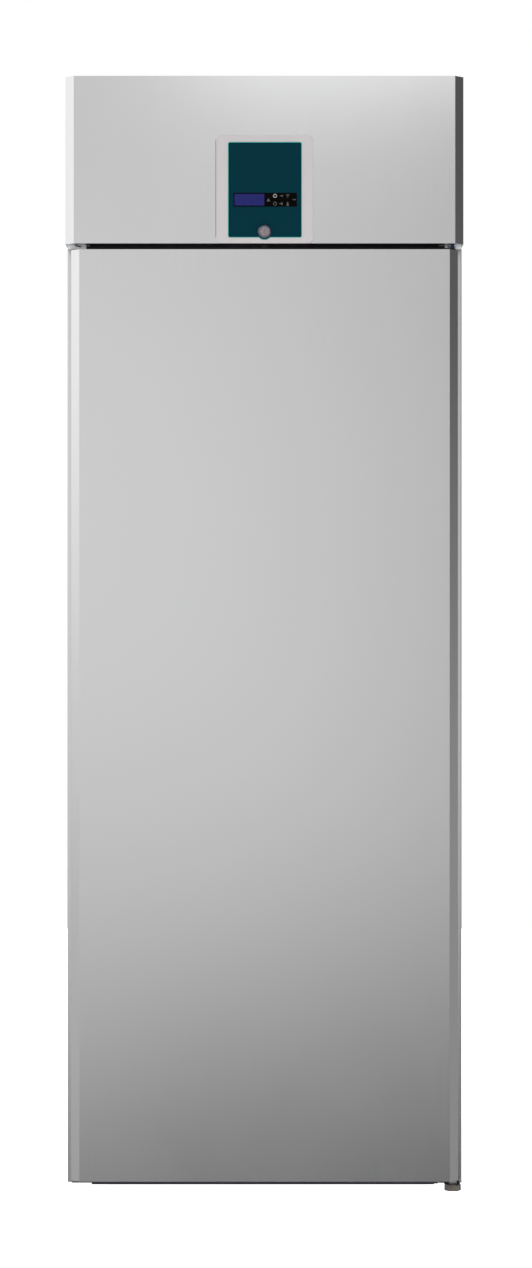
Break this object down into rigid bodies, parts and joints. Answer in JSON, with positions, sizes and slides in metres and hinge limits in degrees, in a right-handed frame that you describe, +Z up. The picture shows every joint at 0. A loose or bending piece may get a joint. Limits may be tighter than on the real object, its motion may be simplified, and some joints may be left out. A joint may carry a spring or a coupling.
{
  "type": "roll-in refrigerator",
  "caption": "Tall stainless roll-in refrigerator: floorless cabinet, full-height hinged door with a recessed grip, tilting header with controls and lock, machine on top.",
  "frame": {"origin": "on the floor, under the middle of the bounding box", "axes": "+X to the right seen from the front, -Y towards the user, +Z up"},
  "size_m": [0.75, 0.883, 2.1],
  "materials": {
    "stainless": "brushed stainless sheet",
    "galvanised": "galvanised sheet, dull",
    "foam": "rigid polyurethane foam",
    "black_pvc": "extruded PVC, satin black",
    "grey_pvc": "extruded PVC, dark grey",
    "bezel_abs": "moulded ABS, light warm grey",
    "teal_film": "printed polycarbonate, dark teal",
    "black_lens": "polycarbonate lens, black",
    "blue_screen": "liquid crystal screen, blue-violet",
    "circuit_board": "glass-epoxy board",
    "chrome": "chromed zinc",
    "zinc_steel": "zinc-plated steel",
    "dark_steel": "phosphated steel, dark brownish grey",
    "black_rubber": "black rubber",
    "fin_aluminium": "thin aluminium fins on copper tube",
    "copper": "copper tube",
    "black_paint": "black enamel on pressed steel",
    "white_lens": "frosted lamp lens",
    "fan_plastic": "moulded nylon",
    "white_abs": "moulded ABS, white"
  },
  "bodies": {
    "cabinet": {"left_outer_skin": "stainless", "right_outer_skin": "stainless", "rear_outer_skin": "galvanised", "left_foam_core": "foam", "right_foam_core": "foam", "rear_foam_core": "foam", "ceiling_foam_core": "foam", "inner_liner": "stainless", "front_frame": "black_pvc", "base_frame": "galvanised", "levelling_feet": "zinc_steel", "upper_hinge_plates": "zinc_steel", "lower_hinge_plate": "dark_steel", "hinge_foot": "dark_steel", "hinge_pins": "zinc_steel", "hinge_screws": "zinc_steel", "rack_guides": "stainless", "rear_bumpers": "grey_pvc", "air_duct_panel": "stainless", "interior_lamp": "white_lens", "machine_deck": "galvanised", "evaporator_hood": "white_abs", "evaporator_coil": "fin_aluminium", "condenser_coil": "fin_aluminium", "condenser_shroud": "black_paint", "fan_motors": "black_paint", "compressor": "black_paint", "compressor_mounts": "black_rubber", "refrigerant_pipes": "copper", "condensate_tray": "white_abs", "control_box": "grey_pvc", "machine_rear_panel": "galvanised", "cable_gland": "grey_pvc", "header_pivots": "zinc_steel"},
    "header": {"header_panel": "stainless", "control_bezel": "bezel_abs", "control_fascia": "teal_film", "display_window": "black_lens", "display_screen": "blue_screen", "control_board": "circuit_board", "lock_housing": "chrome"},
    "lock": {"lock_plug": "chrome", "lock_cam": "zinc_steel"},
    "door": {"door_outer_skin": "stainless", "door_foam_core": "foam", "door_inner_liner": "stainless", "handle_profile": "grey_pvc", "door_top_cap": "black_pvc", "door_bottom_cap": "black_pvc", "door_sweep": "black_rubber", "door_gasket": "black_rubber", "door_hinge_bushes": "white_abs"},
    "condenser_rotor": {"condenser_fan": "fan_plastic"},
    "evaporator_rotor": {"evaporator_fan": "fan_plastic"},
    "power_key": {"power_key": "black_lens"},
    "light_key": {"light_key": "black_lens"},
    "menu_key": {"menu_key": "black_lens"},
    "down_key": {"down_key": "black_lens"},
    "up_key": {"up_key": "black_lens"},
    "defrost_key": {"defrost_key": "black_lens"}
  },
  "joints": [
    {"name": "door_hinge", "type": "hinge", "parent": "cabinet", "child": "door", "pos_m": [0.344, -0.4055, 0.021], "axis": [0, 0, 1], "range_deg": [0, 120]},
    {"name": "header_hinge", "type": "hinge", "parent": "cabinet", "child": "header", "pos_m": [0, -0.3905, 2.092], "axis": [-1, 0, 0], "range_deg": [0, 70]},
    {"name": "lock_turn", "type": "hinge", "parent": "header", "child": "lock", "pos_m": [0, -0.4415, 1.8066], "axis": [0, 1, 0], "range_deg": [0, 90]},
    {"name": "condenser_fan_spin", "type": "hinge", "parent": "cabinet", "child": "condenser_rotor", "pos_m": [0.209, -0.25525, 1.938], "axis": [0, 1, 0], "continuous": true},
    {"name": "evaporator_fan_spin", "type": "hinge", "parent": "cabinet", "child": "evaporator_rotor", "pos_m": [-0.139, 0.129, 1.93], "axis": [0, 1, 0], "continuous": true},
    {"name": "power_key_press", "type": "slide", "parent": "header", "child": "power_key", "axis": [0, 1, 0], "range_m": [0, 0.0005], "stiffness_N_per_m": 400},
    {"name": "light_key_press", "type": "slide", "parent": "header", "child": "light_key", "axis": [0, 1, 0], "range_m": [0, 0.0005], "stiffness_N_per_m": 400},
    {"name": "menu_key_press", "type": "slide", "parent": "header", "child": "menu_key", "axis": [0, 1, 0], "range_m": [0, 0.0005], "stiffness_N_per_m": 400},
    {"name": "down_key_press", "type": "slide", "parent": "header", "child": "down_key", "axis": [0, 1, 0], "range_m": [0, 0.0005], "stiffness_N_per_m": 400},
    {"name": "up_key_press", "type": "slide", "parent": "header", "child": "up_key", "axis": [0, 1, 0], "range_m": [0, 0.0005], "stiffness_N_per_m": 400},
    {"name": "defrost_key_press", "type": "slide", "parent": "header", "child": "defrost_key", "axis": [0, 1, 0], "range_m": [0, 0.0005], "stiffness_N_per_m": 400}
  ]
}
